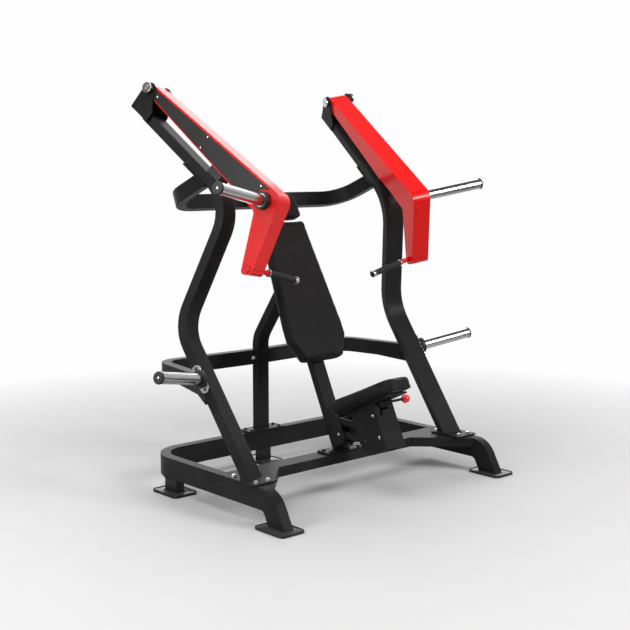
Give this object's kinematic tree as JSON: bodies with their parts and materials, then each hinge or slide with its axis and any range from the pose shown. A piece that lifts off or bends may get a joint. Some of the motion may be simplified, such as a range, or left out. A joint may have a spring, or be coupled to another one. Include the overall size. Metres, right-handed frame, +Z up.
{
  "type": "chest press machine",
  "caption": "Plate-loaded converging chest press with a reclined padded seat, separate swinging press arms with grips, and plate horns on arms and frame.",
  "frame": {"origin": "on the floor under the middle of the machine's box", "axes": "+X to the seated user's right, +Y behind the user, +Z up"},
  "size_m": [1.9144, 1.1514, 1.8076],
  "materials": {
    "frame_paint": "satin charcoal powder coat",
    "foot_paint": "black powder coat",
    "arm_paint": "glossy red powder coat",
    "black_panel": "satin black",
    "rubber": "matt black",
    "grip_rubber": "fine textured black",
    "chrome": "polished",
    "knob_plastic": "glossy red",
    "upholstery": "black synthetic leather"
  },
  "bodies": {
    "frame": {"back_pad": "upholstery", "back_support": "frame_paint", "base_ring": "frame_paint", "center_foot": "foot_paint", "cross_beam": "frame_paint", "front_foot_left": "foot_paint", "front_foot_right": "foot_paint", "head_pad": "upholstery", "pivot_bracket_left": "frame_paint", "pivot_bracket_right": "frame_paint", "pivot_shaft_left": "chrome", "pivot_shaft_right": "chrome", "post_plate": "frame_paint", "rear_foot_left": "foot_paint", "rear_foot_right": "foot_paint", "rear_post": "frame_paint", "ring_plate_left": "frame_paint", "ring_plate_right": "frame_paint", "rubber_stop_left": "rubber", "rubber_stop_right": "rubber", "seat_bracket": "frame_paint", "seat_rack": "frame_paint", "storage_collar_left": "rubber", "storage_collar_right": "rubber", "storage_horn_cap_left": "rubber", "storage_horn_cap_right": "rubber", "storage_horn_left": "chrome", "storage_horn_right": "chrome", "storage_plate_left": "chrome", "storage_plate_right": "chrome", "storage_ring_left": "frame_paint", "storage_ring_right": "frame_paint", "support_plate": "frame_paint", "top_ring": "frame_paint", "upright_left": "frame_paint", "upright_plate_left": "frame_paint", "upright_plate_right": "frame_paint", "upright_right": "frame_paint"},
    "press_arm_right": {"arm_right": "arm_paint", "arm_cover_right": "black_panel", "arm_horn_collar_right": "rubber", "arm_horn_right": "chrome", "arm_horn_cap_right": "rubber", "handle_tube_right": "arm_paint", "grip_right": "grip_rubber"},
    "press_arm_left": {"arm_left": "arm_paint", "arm_cover_left": "black_panel", "arm_horn_collar_left": "rubber", "arm_horn_left": "chrome", "arm_horn_cap_left": "rubber", "handle_tube_left": "arm_paint", "grip_left": "grip_rubber"},
    "seat_link_low": {"seat_link_lower": "frame_paint"},
    "seat_link_top": {"seat_link_upper": "frame_paint"},
    "seat": {"seat_carriage": "frame_paint", "seat_pad": "upholstery"},
    "seat_latch": {"seat_lever": "frame_paint", "seat_knob": "knob_plastic"}
  },
  "joints": [
    {"name": "arm_right_press", "type": "hinge", "parent": "frame", "child": "press_arm_right", "pos_m": [0.54807, 0.46837, 1.76957], "axis": [-0.9393, 0.2946, -0.1757], "range_deg": [0, 40]},
    {"name": "arm_left_press", "type": "hinge", "parent": "frame", "child": "press_arm_left", "pos_m": [-0.54807, 0.46837, 1.76957], "axis": [-0.9393, -0.2946, 0.1757], "range_deg": [0, 40]},
    {"name": "seat_height", "type": "hinge", "parent": "frame", "child": "seat_link_low", "pos_m": [0, -0.19282, 0.24727], "axis": [-1, 0, 0], "range_deg": [-8, 45]},
    {"name": "seat_height_top_link", "type": "hinge", "parent": "frame", "child": "seat_link_top", "pos_m": [0, -0.16514, 0.30609], "axis": [-1, 0, 0], "range_deg": [-8, 45]},
    {"name": "seat_level", "type": "hinge", "parent": "seat_link_low", "child": "seat", "pos_m": [0, -0.365, 0.24541], "axis": [-1, 0, 0], "range_deg": [-45, 8]},
    {"name": "seat_latch_lever", "type": "hinge", "parent": "seat", "child": "seat_latch", "pos_m": [-0.03, -0.41966, 0.41812], "axis": [0, 0.9048, -0.4258], "range_deg": [0, 12], "stiffness_Nm_per_rad": 3, "springref_deg": -8.59}
  ],
  "couplings": [
    {"joint": "seat_height_top_link", "follows": "seat_height", "ratio": 1},
    {"joint": "seat_level", "follows": "seat_height", "ratio": -1}
  ]
}
